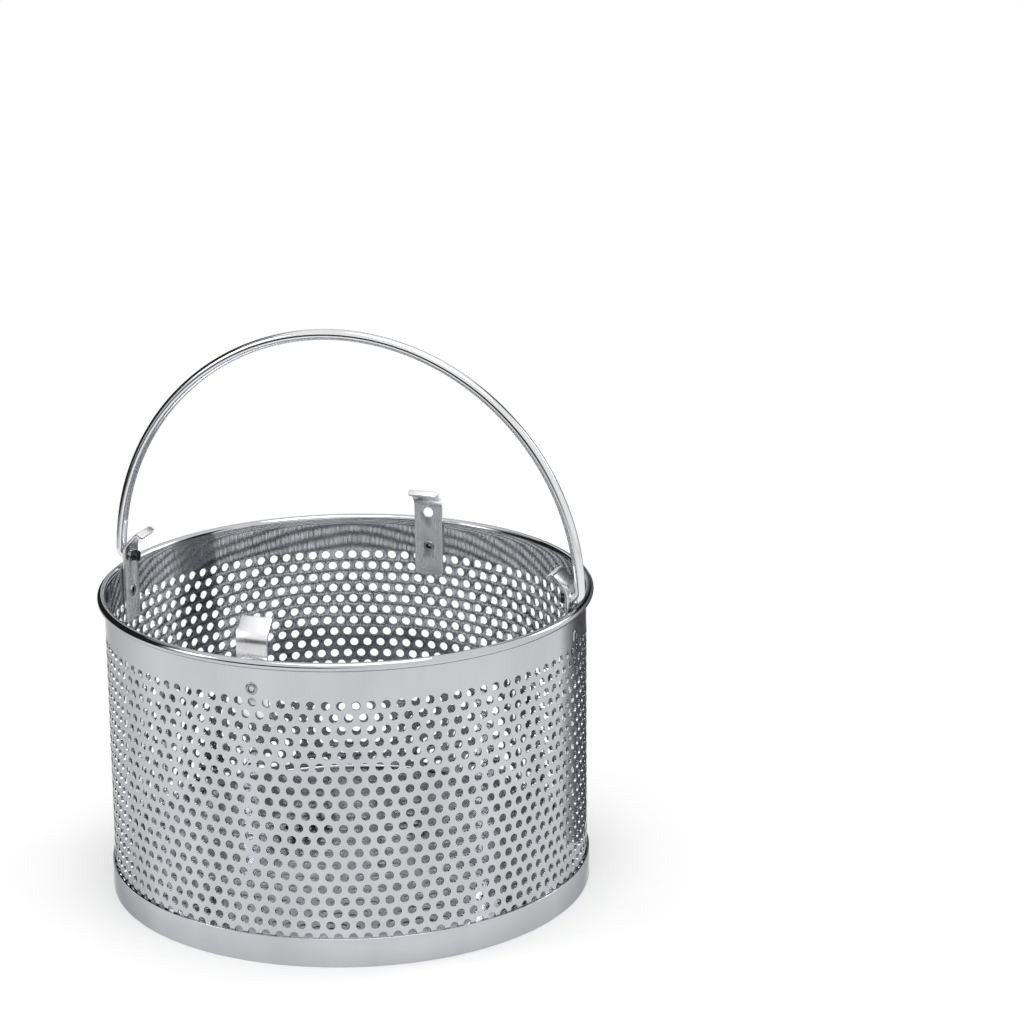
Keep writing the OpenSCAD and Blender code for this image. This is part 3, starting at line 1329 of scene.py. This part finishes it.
@dataclass(frozen=True)
class Lamp:
    """A soft square lamp that faces the basket: its place, the length of its sides and its watts."""

    name: str
    place: Point3
    size: float
    power: float
    aim: Point3 = (0.0, 0.0, 0.12)

    def hang(self) -> None:
        """Add the lamp to the scene."""
        data = bpy.data.lights.new(self.name, "AREA")
        data.size, data.energy = self.size, self.power
        made = add_object(self.name, data)
        made.location = self.place
        made.rotation_mode = "QUATERNION"
        made.rotation_quaternion = (Vector(self.aim) - Vector(self.place)).to_track_quat("-Z", "Y")


CARDS = (
    Card("card_left", 1.2, (128, 222), ((1.0, 0.0), (1.0, 1.15)), soft=(0.04, 0.2)),
    Card("card_left_high", 1.2, (128, 222), ((1.0, 1.15), (0.9, 1.45)), shade=0.3),
    Card("card_front", 2.2, (-140, -60), ((1.0, 0.0), (1.0, 0.7))),
    Card("card_behind", 1.6, (40, 128), ((1.0, 0.35), (0.95, 0.8)), shade=0.15),
    *(Card(f"card_beside_{round(low / MM)}", 0.09, (0, 360), ((1.0, low), (1.0, high)),
           (0.203, 0.158), shade) for low, high, shade in ((0.0, 0.185, 0.3), (0.185, 0.4, 0.03))),
    *(Card(f"card_ground_{round(near / MM)}", 1.0, (128, 300), ((near, 0.002), (far, 0.002)), shade=shade)
      for near, far, shade in ((0.68, 0.85, 0.5), (0.85, 1.1, 0.2), (1.1, 2.2, 0.03))),
)
LAMPS = (Lamp("overhead", (0.3, -0.4, 2.4), 1.6, 26.0), Lamp("left_front", (-1.9, -1.2, 1.3), 1.0, 16.0),
         Lamp("right_rear", (1.6, 1.8, 1.4), 1.0, 12.0))


@dataclass
class Studio:
    """Pale floor, soft lamps, cards for the metal to reflect, white surroundings and the camera."""

    camera_far: float = 1.9639
    camera_rise: float = math.radians(22.538)
    yaw: float = math.radians(2.953)
    pitch: float = math.radians(16.563)
    roll: float = math.radians(-0.4428)
    turn: float = math.radians(22.179)
    focal_px: float = 3389.07
    width_px: float = 1024.0
    sensor: float = 36.0
    clip_far: float = 50.0
    floor_half: float = 6.0
    floor_grey: float = 0.9
    sky: float = 0.7
    under: Fade = Fade(0.12, 0.2, high=0.6)
    reach: Fade = Fade(0.15, 0.75, high=0.4)
    mirrored: Fade = Fade(0.6, 1.3, 0.85, 0.3)

    def camera(self) -> None:
        """Place the camera at the viewing angle."""
        data = bpy.data.cameras.new("camera")
        data.sensor_width = self.sensor
        data.lens = self.focal_px * self.sensor / self.width_px
        data.clip_end = self.clip_far
        made = add_object("camera", data)
        spin = Matrix.Rotation(self.turn, 3, "Z")
        place = Vector((0.0, -self.camera_far * math.cos(self.camera_rise),
                        self.camera_far * math.sin(self.camera_rise)))
        ahead = Vector((math.sin(self.yaw) * math.cos(self.pitch),
                        math.cos(self.yaw) * math.cos(self.pitch), -math.sin(self.pitch)))
        right = Vector((math.cos(self.yaw), -math.sin(self.yaw), 0.0))
        up = right.cross(ahead)
        right, up = (math.cos(self.roll) * right + math.sin(self.roll) * up,
                     math.cos(self.roll) * up - math.sin(self.roll) * right)
        axes = Matrix([spin @ v for v in (right, up, -ahead)]).transposed()
        made.matrix_world = Matrix.Translation(spin @ place) @ axes.to_4x4()
        bpy.context.scene.camera = made

    def floor(self) -> None:
        """Lay a wide white floor that keeps a soft shadow and is clear from below."""
        s = self.floor_half
        made = mesh_object("floor", [(-s, -s, 0), (s, -s, 0), (s, s, 0), (-s, s, 0)], [(0, 1, 2, 3)])
        paint, g = new_material("floor")
        lit = g.add("ShaderNodeBsdfDiffuse", {"Color": (*[self.floor_grey] * 3, 1.0)})
        glow = g.add("ShaderNodeEmission", {"Color": WHITE, "Strength": 1.0})
        far = g.length(g.place())
        pale = g.math("ADD", self.under.of(g, far),
                      self.reach.of(g, far, interpolation_type="SMOOTHSTEP"))
        share = g.math("MULTIPLY", g.seen(self.mirrored.of(g, far)), pale)
        below = g.add("ShaderNodeNewGeometry").outputs["Backfacing"]
        g.show(g.mix(below, g.mix(share, lit, glow), g.add("ShaderNodeBsdfTransparent")))
        made.data.materials.append(paint)

    def world(self) -> None:
        """Set white surroundings for the camera and a soft white sky for the light."""
        world = bpy.data.worlds.new("studio")
        bpy.context.scene.world = world
        world.use_nodes = True
        g = NodeGraph(world.node_tree)
        soft = g.add("ShaderNodeBackground", {"Color": WHITE, "Strength": self.sky})
        white = g.add("ShaderNodeBackground", {"Color": WHITE, "Strength": 1.0})
        g.show(g.mix(g.seen(), soft, white), "World")

    def build(self) -> None:
        """Build the whole studio."""
        self.camera()
        self.floor()
        self.world()
        for card in CARDS:
            card.stand()
        for lamp in LAMPS:
            lamp.hang()
        bpy.context.scene.view_settings.view_transform = "Standard"


def main() -> None:
    """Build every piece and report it."""
    logging.basicConfig(level=logging.INFO, format="%(name)s: %(message)s")
    Studio().build()
    shop = Workshop()
    PerforatedWall().build(shop)
    RimWire().build(shop)
    BaseRing().build(shop)
    BottomPlate().build(shop)
    for side in Side:
        StackingBracket(side, pivot_hole=side is not Side.FRONT).build(shop)
    HollowRivets().build(shop)
    Bail().build(shop)


if __name__ == "__main__":
    main()
